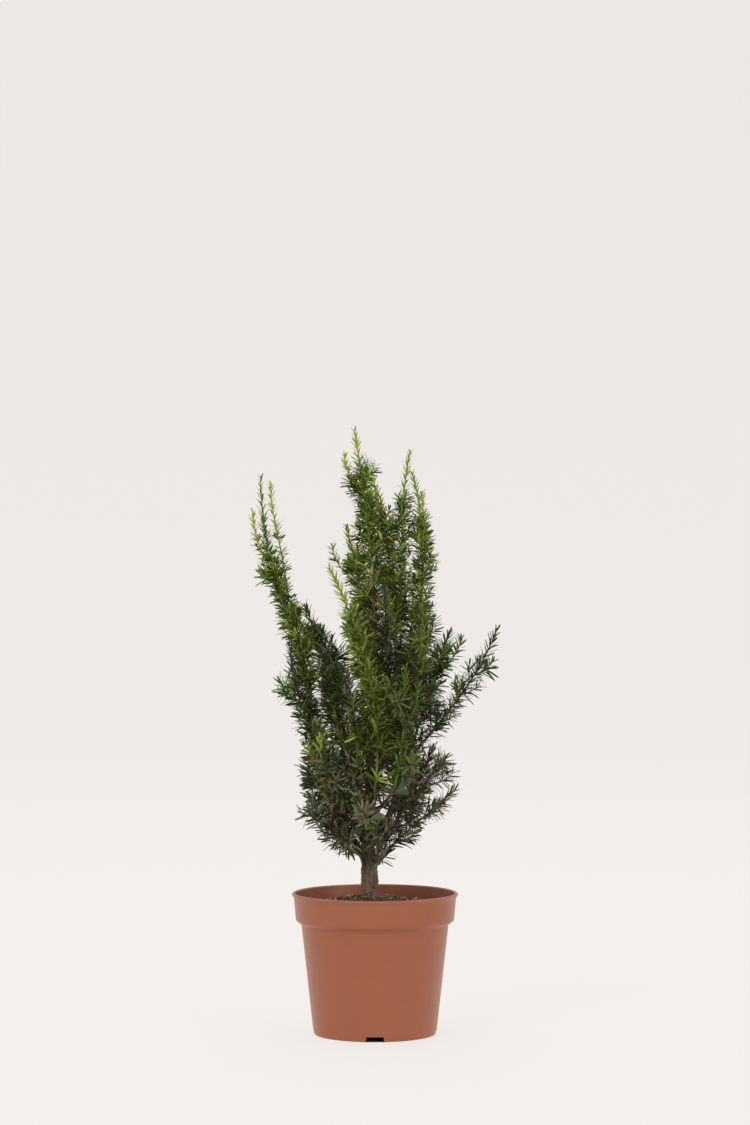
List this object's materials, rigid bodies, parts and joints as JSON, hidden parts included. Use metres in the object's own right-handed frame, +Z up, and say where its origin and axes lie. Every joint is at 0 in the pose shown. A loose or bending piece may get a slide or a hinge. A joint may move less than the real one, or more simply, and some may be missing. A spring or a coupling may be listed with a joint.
{
  "type": "potted hybrid yew",
  "caption": "Small upright hybrid yew shrub with needle-covered boughs, growing from a mound of compost in a stepped plastic nursery pot.",
  "frame": {"origin": "centre of the pot's flat underside", "axes": "+Z up the plant, +X to the plant's right as it is pictured, -Y towards the viewer of the picture"},
  "size_m": [0.2599, 0.1718, 0.6227],
  "materials": {
    "pot_plastic": "satin terracotta-coloured plastic",
    "compost": "dark, crumbly and matt",
    "bark": "grey-brown and flaky",
    "fresh_needles": "satin yellow-green to mid green",
    "dark_needles": "satin dark grey-green"
  },
  "bodies": {
    "root": {"back_left_bough": "bark", "back_left_leader_bough": "bark", "back_left_leader_needles": "fresh_needles", "back_left_needles": "dark_needles", "back_low_left_bough": "bark", "back_low_left_needles": "dark_needles", "back_low_right_bough": "bark", "back_low_right_needles": "dark_needles", "back_middle_bough": "bark", "back_middle_needles": "dark_needles", "back_right_bough": "bark", "back_right_needles": "dark_needles", "centre_front_bough": "bark", "centre_front_needles": "dark_needles", "centre_leader_needles": "fresh_needles", "centre_right_bough": "bark", "centre_right_needles": "fresh_needles", "compost": "compost", "front_leader_bough": "bark", "front_leader_needles": "fresh_needles", "front_left_bough": "bark", "front_left_needles": "dark_needles", "front_low_bough": "bark", "front_low_needles": "dark_needles", "front_middle_bough": "bark", "front_middle_needles": "dark_needles", "front_stem_bough": "bark", "front_stem_needles": "fresh_needles", "left_bulge_bough": "bark", "left_bulge_needles": "fresh_needles", "left_inner_bough": "bark", "left_inner_needles": "dark_needles", "left_leader_bough": "bark", "left_leader_needles": "fresh_needles", "left_low_back_bough": "bark", "left_low_back_needles": "dark_needles", "left_low_front_bough": "bark", "left_low_front_needles": "dark_needles", "left_middle_bough": "bark", "left_middle_needles": "dark_needles", "pot": "pot_plastic", "right_arm_bough": "bark", "right_arm_needles": "dark_needles", "right_front_bough": "bark", "right_front_needles": "dark_needles", "right_leader_bough": "bark", "right_leader_needles": "fresh_needles", "right_low_arm_bough": "bark", "right_low_arm_needles": "dark_needles", "right_lowest_arm_bough": "bark", "right_lowest_arm_needles": "dark_needles", "right_middle_bough": "bark", "right_middle_needles": "dark_needles", "right_tall_bough": "bark", "right_tall_needles": "fresh_needles", "trunk": "bark"}
  },
  "joints": []
}
